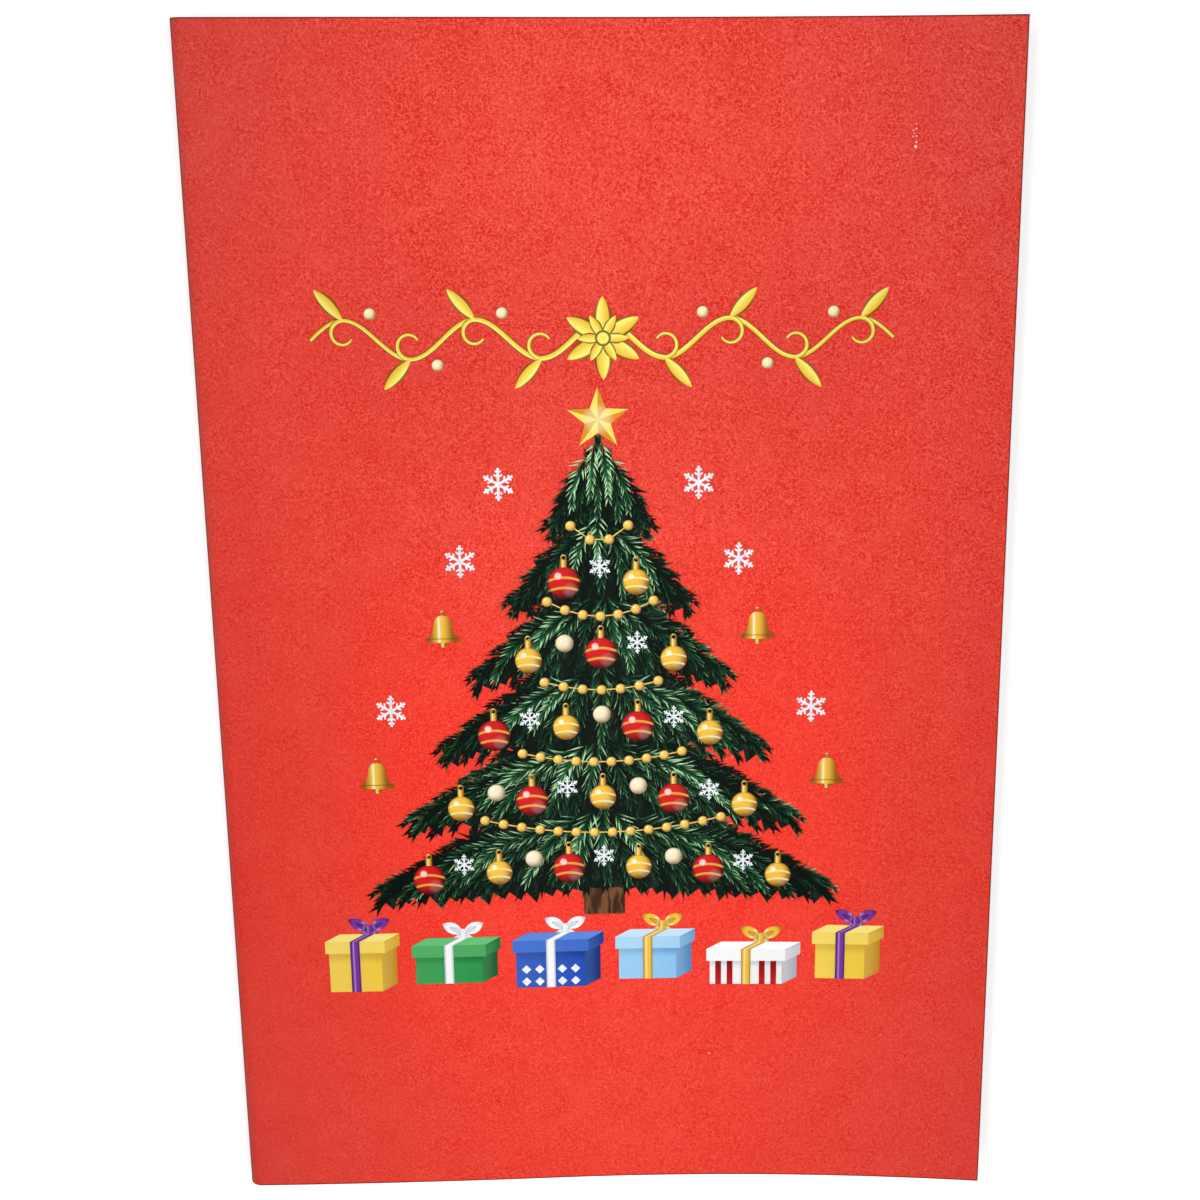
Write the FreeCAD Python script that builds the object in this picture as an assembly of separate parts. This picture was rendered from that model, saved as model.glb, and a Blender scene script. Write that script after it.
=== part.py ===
import FreeCAD, Part
import math
import os

# A pop-up greeting card, closed and lying on its back panel, front panel up.
# Millimetres. X runs from the fold (left) to the fore edge, Y from the foot to the head of the
# card, Z up. The origin is on the ground under the middle of the card.

# The card
card_width = 130.0
card_height = 198.0
cover_sheet = 0.35
liner_sheet = 0.2
leaf_sheet = 0.2
liner_margin = 2.0

# How the closed front panel lies: it leaves the fold level, sags, and springs up at the fore edge
air_gap = 0.7
sag_depth = 1.6
sag_place = 10.0
rise_radius = 460.0
panel_flats = 12

# The folded sheets of the pop-up, from the foot of the fold upwards
fold_angle = 45.0
fold_clearance = 0.6
apex_spacing = 22.0
apex_of_gifts = -12.0
glue_tab = 8.0
tab_lap = 1.2
ground_strip = 7.0
gifts_reach = 36.0
gifts_rise = 30.0
front_tree_reach = 38.0
front_tree_rise = 78.0
back_tree_reach = 44.0
back_tree_rise = 100.0
popup_trunk = 4.0
popup_tiers = 5

# The print: each colour is a thin raised film
ink = 0.1
leaf_steps = 4
bauble_sides = 16
dot_sides = 8
bead_sides = 6

# The printed tree
tree_axis = -1.0
tree_top = 33.0
tree_foot = -43.0
tree_half_width = 38.0
tree_tiers = 6
tier_notch = 0.5
tier_droop = 2.4
needle_length = 2.3
needle_pitch = 2.7
trunk_width = 7.0
trunk_length = 5.0
bough_width = 3.0
bead_radius = 0.85
bead_pitch = 3.0
swag_sag = 2.6
red_bauble = 2.7
gold_bauble = 2.2
small_bauble = 1.5
tree_flake = 1.9
cap_size = 1.1
bell_size = 5.6
flake_radius = 2.7
flake_points = 6
star_radius = 5.2
star_points = 5

# The printed gifts below the tree
gift_width = 10.0
gift_height = 9.4
gift_gap = 3.2
gift_step = 1.2
gift_foot = -61.5
side_run = 2.6
side_rise = 1.4
ribbon_width = 1.6
lid_height = 2.2
lid_overhang = 0.6
bow_loop = 3.8
bow_lean = 64.0
lozenge_radius = 0.8
lozenge_pitch = 2.3
stripe_width = 1.0

# The printed gold scroll in the upper third
scroll_middle = 50.6
scroll_half_length = 46.0
scroll_waves = 4
scroll_swing = 3.1
wave_steps = 6
curl_steps = 8
scroll_band = 1.1
scroll_leaf = 6.4
scroll_leaf_width = 2.2
scroll_leaf_lean = 48.0
curl_radius = 2.5
curl_sweep = 235.0
berry_drift = 4.3
berry_radius = 0.95
flower_radius = 6.6
petal_width = 2.8
petals = 6

popup_count = 3
clear_stack = 2 * popup_count * leaf_sheet + air_gap
spine_height = 2 * (cover_sheet + liner_sheet) + clear_stack + sag_depth
fold_radius = spine_height / 2
half_width = card_width / 2
half_height = card_height / 2
panel_start = fold_radius - half_width
inner_floor = cover_sheet + liner_sheet

drop_angle = 2 * math.atan(sag_depth / (sag_place - panel_start))
both_radii = (sag_place - panel_start) / math.sin(drop_angle)
drop_radius = both_radii - rise_radius


def vector(x, y, z=0.0):
    return FreeCAD.Vector(x, y, z)


headroom = vector(0, 0, 4 * spine_height)


def bent_height(x):
    """Height of the bent front panel at x: one arc falls from the fold, the next one rises."""
    if x < panel_start + drop_radius * math.sin(drop_angle):
        return spine_height - drop_radius + math.sqrt(drop_radius**2 - (x - panel_start) ** 2)
    middle = spine_height - sag_depth + rise_radius
    return middle - math.sqrt(rise_radius**2 - (x - sag_place) ** 2)


def front_height(x):
    """Height of the front panel's outer face, made of narrow flats that follow the bend."""
    flat = (half_width - panel_start) / panel_flats
    index = min(int((x - panel_start) / flat), panel_flats - 1)
    left = panel_start + index * flat
    share = (x - left) / flat
    return (1 - share) * bent_height(left) + share * bent_height(left + flat)


def front_run(depth, end):
    """The front panel's section at one depth, from the fold outwards to x = end."""
    flat = (half_width - panel_start) / panel_flats
    places = [panel_start + i * flat for i in range(panel_flats)]
    places = [x for x in places if end - x > cover_sheet] + [end]
    corners = [vector(x, 0, front_height(x) - depth) for x in places]
    edges = [Part.makeLine(a, b) for a, b in zip(corners, corners[1:])]
    return edges, corners[0], corners[-1]


def flat_run(height, end):
    """A level section line from the fold outwards."""
    start = vector(panel_start, 0, height)
    finish = vector(end, 0, height)
    return [Part.makeLine(start, finish)], start, finish


def section_run(surface, end):
    kind, value = surface
    if kind == "flat":
        return flat_run(value, end)
    return front_run(value, end)


def region(lower, upper, end, foot, head):
    """The solid between two surfaces, from the fold to x = end and from y = foot to y = head."""
    low_edges, low_start, low_finish = section_run(lower, end)
    high_edges, high_start, high_finish = section_run(upper, end)
    edges = low_edges + high_edges
    edges.append(Part.makeLine(low_start, high_start))
    edges.append(Part.makeLine(low_finish, high_finish))
    face = Part.Face(Part.Wire(Part.__sortEdges__(edges)))
    face.translate(vector(0, foot))
    return face.extrude(vector(0, head - foot))


def folded_sheet(depth, thickness, end, foot, head):
    """One sheet folded round the spine: back panel, round fold and front panel in one piece."""
    outer_radius = fold_radius - depth
    inner_radius = outer_radius - thickness
    edges = []
    for radius, level in ((outer_radius, depth), (inner_radius, depth + thickness)):
        low, low_start, low_finish = flat_run(level, end)
        high, high_start, high_finish = front_run(level, end)
        side = vector(panel_start - radius, 0, fold_radius)
        edges += low + high + [Part.Arc(low_start, side, high_start).toShape()]
        if level == depth:
            outer_ends = (low_finish, high_finish)
        else:
            inner_ends = (low_finish, high_finish)
    for outer, inner in zip(outer_ends, inner_ends):
        edges.append(Part.makeLine(outer, inner))
    face = Part.Face(Part.Wire(Part.__sortEdges__(edges)))
    face.translate(vector(0, foot))
    return face.extrude(vector(0, head - foot))


def polygon(points):
    corners = [vector(x, y) for x, y in points]
    return Part.Face(Part.makePolygon(corners + corners[:1]))


def box(x0, y0, x1, y1):
    return polygon([(x0, y0), (x1, y0), (x1, y1), (x0, y1)])


def pointed(x, y, outer, inner, points, turn=90.0):
    """A star with its first point at the angle turn; inner is the radius of its notches."""
    corners = []
    for i in range(2 * points):
        radius = inner if i % 2 else outer
        angle = math.radians(turn + 180.0 * i / points)
        corners.append((x + radius * math.cos(angle), y + radius * math.sin(angle)))
    return polygon(corners)


def rounded(x, y, radius, sides):
    """A small round field of ink with a given number of flats."""
    angles = [2 * math.pi * i / sides for i in range(sides)]
    return polygon([(x + radius * math.cos(a), y + radius * math.sin(a)) for a in angles])


def lens(x, y, length, width, angle):
    """A leaf, pointed at both ends, that starts at x, y and points along the angle."""
    turn = math.radians(angle)
    corners = []
    for side in (1, -1):
        for i in range(leaf_steps):
            share = i / leaf_steps if side > 0 else 1 - i / leaf_steps
            along = length * share
            across = side * width / 2 * math.sin(math.pi * share)
            corners.append((x + along * math.cos(turn) - across * math.sin(turn),
                            y + along * math.sin(turn) + across * math.cos(turn)))
    return polygon(corners)


def distance(a, b):
    return math.hypot(a[0] - b[0], a[1] - b[1])


def joined(faces):
    """Fields that run into each other, as one upright block."""
    blocks = [face.extrude(headroom) for face in faces]
    return blocks[0].multiFuse(blocks[1:]).removeSplitter()


def film(fields, low, high):
    """Ink fields between two levels of ink on the front panel, curved as the panel is."""
    layer = region(("front", -low * ink), ("front", -high * ink), half_width,
                   -half_height, half_height)
    solids = []
    for field in fields:
        block = field if field.Solids else field.extrude(headroom)
        solids += block.common(layer).Solids
    return Part.makeCompound(solids)


def export(shape, name):
    shape.exportStep("parts/" + name + ".step")
    print(name, len(shape.Solids), "solids", round(shape.Volume, 2), "mm3", shape.isValid())


# The folded card sheets


def cover():
    return folded_sheet(0, cover_sheet, half_width, -half_height, half_height)


def liner():
    edge = half_height - liner_margin
    return folded_sheet(cover_sheet, liner_sheet, half_width - liner_margin, -edge, edge)


# The pop-up sheets: each stands across the fold as a V when the card is open


def place(points, apex):
    """Points given along the glue line and along the crease, laid down in the closed card."""
    turn = math.radians(fold_angle)
    corner = panel_start + fold_clearance
    return [(corner + (u + v) * math.cos(turn), apex + (u - v) * math.sin(turn))
            for u, v in points]


def popup_sheet(outline, reach, crease, apex, order):
    """One folded sheet: a leaf on each panel, the crease between them and two glue tabs."""
    step = order * leaf_sheet
    leaf = polygon(place(outline, apex))
    fold = polygon(place([(0, 0), (leaf_sheet, 0), (leaf_sheet, crease), (0, crease)], apex))
    fold = fold.common(leaf).Faces[0]
    inset = glue_tab + fold_clearance
    tab = polygon(place([(inset, 0), (inset, -glue_tab), (reach - glue_tab / 2, -glue_tab),
                         (reach, 0)], apex))
    lap = polygon(place([(inset, 0), (inset, -tab_lap), (reach, -tab_lap), (reach, 0)], apex))
    lap = lap.common(tab).Faces[0]
    depth = inner_floor + step
    low = ("flat", depth)
    low_top = ("flat", depth + leaf_sheet)
    high = ("front", depth)
    high_under = ("front", depth + leaf_sheet)
    spans = [
        (leaf, low, low_top),
        (leaf, high_under, high),
        (fold, low, high),
        (tab, ("flat", inner_floor), ("flat", inner_floor + leaf_sheet)),
        (tab, ("front", inner_floor + leaf_sheet), ("front", inner_floor)),
        (lap, ("flat", inner_floor), low_top),
        (lap, high_under, ("front", inner_floor)),
    ]
    pieces = []
    for face, under, over in spans:
        gap = region(under, over, half_width, -half_height, half_height)
        pieces.append(face.extrude(headroom).common(gap))
    return pieces[0].multiFuse(pieces[1:]).removeSplitter()


def half_tree(reach, rise):
    """Half a fir standing on a strip of ground, from its glue line up to its tip."""
    points = [(0, 0), (reach, 0), (reach - ground_strip / 2, ground_strip),
              (popup_trunk, ground_strip), (popup_trunk, 2 * ground_strip)]
    boughs = rise - 2 * ground_strip
    for tier in range(popup_tiers):
        share = 1 - tier / popup_tiers
        foot = 2 * ground_strip + boughs * tier / popup_tiers
        points.append((0.8 * reach * share, foot))
        if tier < popup_tiers - 1:
            points.append((0.45 * reach * share, foot + boughs / popup_tiers))
    points.append((0, rise))
    return points


def half_gifts(reach, rise):
    """Half a row of gift boxes on a strip of ground: tall, low and middling."""
    box_width = reach / 3
    points = [(0, 0), (reach, 0)]
    for column, share in ((2, 0.6), (1, 0.45), (0, 1.0)):
        points.append(((column + 1) * box_width, rise * share))
        points.append((column * box_width, rise * share))
    return points


def popup_gifts():
    outline = half_gifts(gifts_reach, gifts_rise)
    return popup_sheet(outline, gifts_reach, gifts_rise, apex_of_gifts, 0)


def popup_tree_front():
    outline = half_tree(front_tree_reach, front_tree_rise)
    apex = apex_of_gifts + apex_spacing
    return popup_sheet(outline, front_tree_reach, front_tree_rise, apex, 1)


def popup_tree_back():
    outline = half_tree(back_tree_reach, back_tree_rise)
    apex = apex_of_gifts + 2 * apex_spacing
    return popup_sheet(outline, back_tree_reach, back_tree_rise, apex, 2)


# The printed tree

tier_rise = (tree_top - tree_foot) / tree_tiers


def tier_half_width(tier):
    """Half the spread of a tier; tier 0 is at the top."""
    return tree_half_width * ((tier + 1) / tree_tiers) ** 0.9


def tier_foot(tier):
    return tree_top - (tier + 1) * tier_rise


def needled(start, finish):
    """An edge with needle points on its left side, shorter near the inner end of a bough."""
    length = distance(start, finish)
    inner_end = start if abs(start[0]) < abs(finish[0]) else finish
    count = max(2, round(length / needle_pitch))
    along = ((finish[0] - start[0]) / length, (finish[1] - start[1]) / length)
    across = (-along[1], along[0])
    points = []
    for i in range(count):
        base = length * i / count
        points.append((start[0] + along[0] * base, start[1] + along[1] * base))
        tip = base + 0.7 * length / count
        room = tip if inner_end == start else length - tip
        reach = min(needle_length * (0.75 + 0.25 * math.cos(2.1 * i + length)), 0.2 * room)
        points.append((start[0] + along[0] * tip + across[0] * reach,
                       start[1] + along[1] * tip + across[1] * reach))
    return points


def tree_side():
    """Corners of the tree's right side, from its tip down to its foot on the axis."""
    corners = [(0, tree_top)]
    for tier in range(tree_tiers):
        foot = tier_foot(tier)
        corners.append((tier_half_width(tier), foot - tier_droop / 2))
        if tier < tree_tiers - 1:
            corners.append((tier_notch * tier_half_width(tier), foot + tier_droop / 3))
    corners.append((0, tree_foot))
    return corners


def tree_face():
    corners = tree_side()
    right = []
    for start, finish in zip(corners, corners[1:]):
        right += needled(start, finish)
    left = [(-x, y) for x, y in reversed(right[1:])]
    outline = right + [corners[-1]] + left
    return polygon([(x + tree_axis, y) for x, y in outline])


def trunk_face():
    half = trunk_width / 2
    block = box(tree_axis - half, tree_foot - trunk_length, tree_axis + half,
                tree_foot + tier_droop)
    below = block.cut(tree_face())
    return [face for face in below.Faces if face.CenterOfMass.y < tree_foot]


def tier_place(tier, share, height):
    """A place on a tier: share runs from -1 to 1 across it, following the droop of its boughs."""
    spread = tier_half_width(tier) - needle_length
    return (tree_axis + share * spread,
            tier_foot(tier) + height * tier_rise - tier_droop * share**2)


def bauble_places():
    """Where things hang, by kind: large baubles in rows, small baubles and flakes between."""
    places = {"red": [], "gold": [], "small": [], "flake": []}
    for tier in range(1, tree_tiers):
        large = ("red", "gold") if tier % 2 else ("gold", "red")
        little = ("small", "flake") if tier % 2 else ("flake", "small")
        count = tier + 1
        for i in range(count):
            places[large[i % 2]].append(tier_place(tier, (2 * i + 1) / count - 1, 0.3))
        for i in range(1, count):
            places[little[i % 2]].append(tier_place(tier, 2 * i / count - 1, 0.46))
    return places


def bauble_radius(kind):
    return {"red": red_bauble, "gold": gold_bauble, "small": small_bauble,
            "flake": tree_flake}[kind]


def swag_places():
    """Bead centres of the garlands, one hanging swag across each tier but the first."""
    beads = []
    taken = [(spot, bauble_radius(kind)) for kind, spots in bauble_places().items()
             for spot in spots]
    for tier in range(tree_tiers - 1):
        half = 0.62 * tier_half_width(tier)
        count = max(3, round(2 * half / bead_pitch))
        for i in range(count + 1):
            share = 2 * i / count - 1
            spot = (tree_axis + share * half,
                    tier_foot(tier) - swag_sag * (1 - share**2))
            if all(distance(spot, other) > radius + bead_radius + ink
                   for other, radius in taken):
                beads.append(spot)
    return beads


def bauble_faces(kind):
    return [rounded(x, y, bauble_radius(kind), bauble_sides) for x, y in bauble_places()[kind]]


def cap_faces():
    """The small metal cap on each hanging bauble."""
    caps = []
    for kind in ("red", "gold"):
        radius = bauble_radius(kind)
        for x, y in bauble_places()[kind]:
            cap = box(x - cap_size / 2, y + 0.8 * radius, x + cap_size / 2, y + radius + cap_size)
            caps += cap.cut(rounded(x, y, radius, bauble_sides)).Faces
    return caps


def bead_faces():
    return [rounded(x, y, bead_radius, bead_sides) for x, y in swag_places()]


def bough_faces():
    """Lighter boughs that droop from the middle of each tier, clear of what hangs on them."""
    hung = bead_faces() + cap_faces()
    flat_to_corner = 1 / math.cos(math.pi / dot_sides)
    for kind, spots in bauble_places().items():
        clear = (bauble_radius(kind) + ink) * flat_to_corner
        hung += [rounded(x, y, clear, dot_sides) for x, y in spots]
    hung = Part.makeCompound(hung)
    silhouette = tree_face()
    boughs = []
    for tier in range(tree_tiers):
        count = 2 * tier + 3
        half = 0.5 * tier_half_width(tier)
        for i in range(count):
            share = 2 * i / (count - 1) - 1
            length = tier_rise * (0.72 + 0.32 * abs(share))
            start = (tree_axis + share * half, tier_foot(tier) + 0.86 * tier_rise)
            leaf = lens(start[0], start[1], length, bough_width, -90 + 38 * share)
            boughs += leaf.common(silhouette).cut(hung).Faces
    smallest = bough_width * bough_width / 4
    return [face for face in boughs if face.Area > smallest]


def bell_face(x, y, size):
    """A hand bell: dome, waist and flared lip."""
    half = size / 2
    shape = [(0.0, 1.0), (0.38, 0.86), (0.52, 0.5), (0.62, 0.05), (1.0, -0.42), (1.0, -0.62),
             (0.2, -0.62), (0.0, -0.95)]
    right = [(x + half * u, y + half * v) for u, v in shape]
    left = [(x - half * u, y + half * v) for u, v in reversed(shape[1:-1])]
    return polygon(right + left)


def bell_places():
    """Pairs of bells on the card beside the tree, between its tiers."""
    places = []
    for tier in (2, 4):
        offset = tier_half_width(tier) + bell_size
        height = tier_foot(tier) + tier_rise * 0.62
        places += [(tree_axis - offset, height), (tree_axis + offset, height)]
    return places


def flake_places():
    places = []
    for tier in (0, 1, 3):
        offset = tier_half_width(tier) + 3.2 * flake_radius
        height = tier_foot(tier) + tier_rise * 0.55
        places += [(tree_axis - offset, height), (tree_axis + offset, height)]
    return places


def flake_face(x, y, radius):
    return pointed(x, y, radius, radius * 0.28, flake_points)


# The printed gifts, each drawn as a box seen a little from its right and from above

gift_row = (
    ("yellow", 0.9, 1.0),
    ("green", 1.15, 0.76),
    ("blue", 1.2, 0.94),
    ("sky", 1.0, 0.84),
    ("white", 1.25, 0.7),
    ("yellow", 0.85, 0.92),
)


def gift_boxes(colour):
    """Left edge, foot, width and height of the front of each box of one colour in the row."""
    fronts = [gift_width * width for _, width, _ in gift_row]
    pitch_extra = side_run + gift_gap
    total = sum(fronts) + pitch_extra * len(fronts) - gift_gap
    left = tree_axis - total / 2
    found = []
    for i, (name, _, height) in enumerate(gift_row):
        foot = gift_foot + (gift_step if i % 2 else 0.0)
        if name == colour:
            found.append((left, foot, fronts[i], gift_height * height))
        left += fronts[i] + pitch_extra
    return found


def gift_faces(colour):
    """Front, side and top of each box of one colour with its overhanging lid, as one outline."""
    faces = []
    for left, foot, width, height in gift_boxes(colour):
        right = left + width
        top = foot + height
        rim = top - lid_height
        tucked = rim + side_rise * (side_run - lid_overhang) / side_run
        faces.append(polygon([
            (left, foot), (right, foot), (right + side_run, foot + side_rise),
            (right + side_run, tucked), (right + lid_overhang + side_run, rim + side_rise),
            (right + lid_overhang + side_run, top + side_rise),
            (left - lid_overhang + side_run, top + side_rise), (left - lid_overhang, top),
            (left - lid_overhang, rim), (left, rim)]))
    return faces


def ribbon_faces(colour):
    """The ribbon up the front and over the lid of each box of one colour."""
    faces = []
    for left, foot, width, height in gift_boxes(colour):
        near = left + (width - ribbon_width) / 2
        far = near + ribbon_width
        top = foot + height
        faces.append(polygon([(near, foot), (far, foot), (far, top),
                              (far + side_run, top + side_rise),
                              (near + side_run, top + side_rise), (near, top)]))
    return faces


def bow_faces(colour):
    """Two loops and a knot on the lid of each box of one colour."""
    faces = []
    for left, foot, width, height in gift_boxes(colour):
        middle = left + width / 2 + side_run
        top = foot + height + side_rise
        knot = box(middle - ribbon_width / 2, top, middle + ribbon_width / 2, top + ribbon_width)
        loops = [lens(middle, top + ribbon_width / 2, bow_loop, bow_loop / 2, 90 + side * bow_lean)
                 for side in (1, -1)]
        faces.append(joined([knot] + loops))
    return faces


def lozenge_faces():
    """Upright lozenges on the front of the blue box, either side of its ribbon."""
    faces = []
    for left, foot, width, height in gift_boxes("blue"):
        for side in (-1, 1):
            for column in (0.5, 1.5):
                for row in (0.5, 1.5):
                    x = left + width / 2 + side * (ribbon_width / 2 + lozenge_pitch * column)
                    faces.append(rounded(x, foot + lozenge_pitch * row, lozenge_radius, 4))
    return faces


def stripe_faces():
    """Upright stripes on the front of the white box, either side of its ribbon."""
    faces = []
    for left, foot, width, height in gift_boxes("white"):
        for side in (-1, 1):
            for step in (1, 2):
                edge = left + width / 2 + side * (ribbon_width / 2 + 2 * stripe_width * step)
                faces.append(box(edge - stripe_width / 2, foot, edge + stripe_width / 2,
                                 foot + height - lid_height))
    return faces


# The printed gold scroll: two waving stems that leave a flower, with leaves, curls and berries

stem_start = 0.7 * flower_radius
wave_length = (scroll_half_length - stem_start) / scroll_waves


def stem_face(side):
    """A waving stem on the right (1) or left (-1) of the flower, thinner towards its end."""
    steps = scroll_waves * wave_steps
    upper = []
    lower = []
    for i in range(steps + 1):
        phase = math.pi * i / wave_steps
        x = stem_start + wave_length * i / wave_steps
        y = -scroll_swing * math.sin(phase)
        slope = -scroll_swing * math.pi / wave_length * math.cos(phase)
        half_band = scroll_band / 2 * (1 - 0.4 * i / steps) / math.hypot(1, slope)
        upper.append((side * (x - slope * half_band), scroll_middle + y + half_band))
        lower.append((side * (x + slope * half_band), scroll_middle + y - half_band))
    return polygon(upper + lower[::-1])


def curl_face(x, y, start, sweep):
    """A curled tendril: part of a ring round x, y that begins on the stem."""
    angles = [math.radians(start + sweep * i / curl_steps) for i in range(curl_steps + 1)]
    rims = [[(x + radius * math.cos(a), y + radius * math.sin(a)) for a in angles]
            for radius in (curl_radius, curl_radius - 0.75 * scroll_band)]
    return polygon(rims[0] + rims[1][::-1])


def scroll_crests(side):
    """The crest of each half wave of a stem: x, y and whether it is up (1) or down (-1)."""
    crests = []
    for i in range(scroll_waves):
        sign = 1 if i % 2 else -1
        crests.append((side * (stem_start + (i + 0.5) * wave_length),
                       scroll_middle + sign * scroll_swing, sign))
    return crests


def scroll_faces():
    parts = [lens(0, scroll_middle, flower_radius, petal_width, 360 * (i + 0.5) / petals)
             for i in range(petals)]
    for side in (-1, 1):
        parts.append(stem_face(side))
        for x, y, sign in scroll_crests(side):
            out = 0 if side > 0 else 180
            parts.append(lens(x, y, scroll_leaf, scroll_leaf_width,
                              out + side * sign * scroll_leaf_lean))
            parts.append(curl_face(x, y - sign * curl_radius, 90 * sign,
                                   -side * sign * curl_sweep))
    return [joined(parts)]


def berry_places():
    places = []
    for side in (-1, 1):
        for x, y, sign in scroll_crests(side)[1:]:
            places.append((x - side * berry_drift, y + sign * berry_radius))
    return places


def berry_faces():
    return [rounded(x, y, berry_radius, dot_sides) for x, y in berry_places()]


os.makedirs("parts", exist_ok=True)

export(cover(), "cover")
export(liner(), "liner")
export(popup_gifts(), "popup_gifts")
export(popup_tree_front(), "popup_tree_front")
export(popup_tree_back(), "popup_tree_back")

export(film([tree_face()], 0, 1), "print_tree")
export(film(trunk_face(), 0, 1), "print_trunk")
export(film(bough_faces(), 1, 2), "print_boughs")
export(film(bead_faces(), 1, 3), "print_garland")
export(film(bauble_faces("red"), 1, 3), "print_baubles_red")
export(film(bauble_faces("gold"), 1, 3), "print_baubles_gold")
export(film(bauble_faces("small"), 1, 3), "print_baubles_small")
export(film(cap_faces(), 1, 3), "print_bauble_caps")
export(film([bell_face(x, y, bell_size) for x, y in bell_places()], 0, 1), "print_bells")
export(film([flake_face(x, y, flake_radius) for x, y in flake_places()], 0, 1),
       "print_snowflakes")
export(film([flake_face(x, y, tree_flake) for x, y in bauble_places()["flake"]], 1, 3),
       "print_tree_flakes")
export(film([pointed(tree_axis, tree_top + star_radius * 0.9, star_radius,
                     star_radius * 0.42, star_points)], 0, 1), "print_star")

for colour in ("blue", "green", "sky", "white", "yellow"):
    export(film(gift_faces(colour), 0, 1), "print_gift_" + colour)

boxes_by_ribbon = {"gold": ("sky", "white"), "white": ("green", "blue"), "purple": ("yellow",)}
for ribbon, boxes in boxes_by_ribbon.items():
    ribbons = [face for colour in boxes for face in ribbon_faces(colour)]
    bows = [face for colour in boxes for face in bow_faces(colour)]
    export(film(ribbons, 1, 2), "print_ribbons_" + ribbon)
    export(film(bows, 0, 1), "print_bows_" + ribbon)
export(film(lozenge_faces(), 1, 2), "print_gift_lozenges")
export(film(stripe_faces(), 1, 2), "print_gift_stripes")

export(film(scroll_faces(), 0, 1), "print_scroll")
export(film(berry_faces(), 0, 1), "print_scroll_berries")
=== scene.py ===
import math
import random

import bmesh
import bpy
from mathutils import Matrix, Vector


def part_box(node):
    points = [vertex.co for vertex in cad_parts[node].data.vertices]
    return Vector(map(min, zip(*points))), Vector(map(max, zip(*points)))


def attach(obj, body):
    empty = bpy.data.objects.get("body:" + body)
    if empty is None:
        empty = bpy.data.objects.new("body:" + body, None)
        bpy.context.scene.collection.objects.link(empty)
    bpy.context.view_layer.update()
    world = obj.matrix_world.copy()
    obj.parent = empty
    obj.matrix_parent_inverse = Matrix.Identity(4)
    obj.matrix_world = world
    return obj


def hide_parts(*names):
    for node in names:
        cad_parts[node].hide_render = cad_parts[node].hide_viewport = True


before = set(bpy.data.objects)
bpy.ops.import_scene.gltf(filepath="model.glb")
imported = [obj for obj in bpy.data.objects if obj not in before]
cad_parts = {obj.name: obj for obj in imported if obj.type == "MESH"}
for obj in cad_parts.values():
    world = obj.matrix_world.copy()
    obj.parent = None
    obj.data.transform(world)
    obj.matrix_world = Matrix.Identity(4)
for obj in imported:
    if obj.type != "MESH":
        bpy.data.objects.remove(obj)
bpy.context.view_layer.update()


# The camera looks down on the card as it lies, from over its upper half.
# Its place, turn and lens put the card's four corners where the photograph has them.
camera_place = (0.005758, 0.075417, 0.275079)
camera_turn = (-13.979, -1.048, -0.222)
camera_lens = 51
camera_sensor = 36
camera_shift = -0.0583
nearest_seen = 0.01

view = bpy.data.cameras.new("camera")
view.lens = camera_lens
view.sensor_width = camera_sensor
view.shift_x = camera_shift
view.clip_start = nearest_seen
camera = bpy.data.objects.new("camera", view)
camera.location = camera_place
camera.rotation_euler = [math.radians(angle) for angle in camera_turn]
bpy.context.scene.collection.objects.link(camera)
bpy.context.scene.camera = camera


# The cover is one sheet of red pearl card, creased once at the left and closed.
# Its front panel leaves the fold level, sags towards the middle and springs up at the fore edge.
# It is fibrous stock with a pearl coat, so it is grainy. Painted shade darkens its cut edges and
# crease, and its colour carries painted sheen and bands of painted light and shade.
cover_sheet = 0.00035
spine_height = 0.0046
sag_depth = 0.0016
sag_place = 0.010
rise_radius = 0.460
fold_steps = 16
panel_cuts = 64
sharp_edge = math.radians(30)
card_low, card_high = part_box("cover")
fold_radius = spine_height / 2
panel_start = card_low.x + fold_radius
panel_length = card_high.x - panel_start
drop_angle = 2 * math.atan(sag_depth / (sag_place - panel_start))
drop_radius = (sag_place - panel_start) / math.sin(drop_angle) - rise_radius


def panel_height(x):
    """Height of the bent front panel's outer face at x."""
    if x < panel_start:
        return spine_height
    if x < panel_start + drop_radius * math.sin(drop_angle):
        return spine_height - drop_radius + math.sqrt(drop_radius**2 - (x - panel_start) ** 2)
    middle = spine_height - sag_depth + rise_radius
    return middle - math.sqrt(rise_radius**2 - (x - sag_place) ** 2)


def paint(red, green, blue):
    """A colour as a printer's chart gives it, 0 to 255, turned into the light that it sends back."""
    parts = [value / 255 for value in (red, green, blue)]
    return [part / 12.92 if part < 0.04045 else ((part + 0.055) / 1.055) ** 2.4
            for part in parts] + [1.0]


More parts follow.
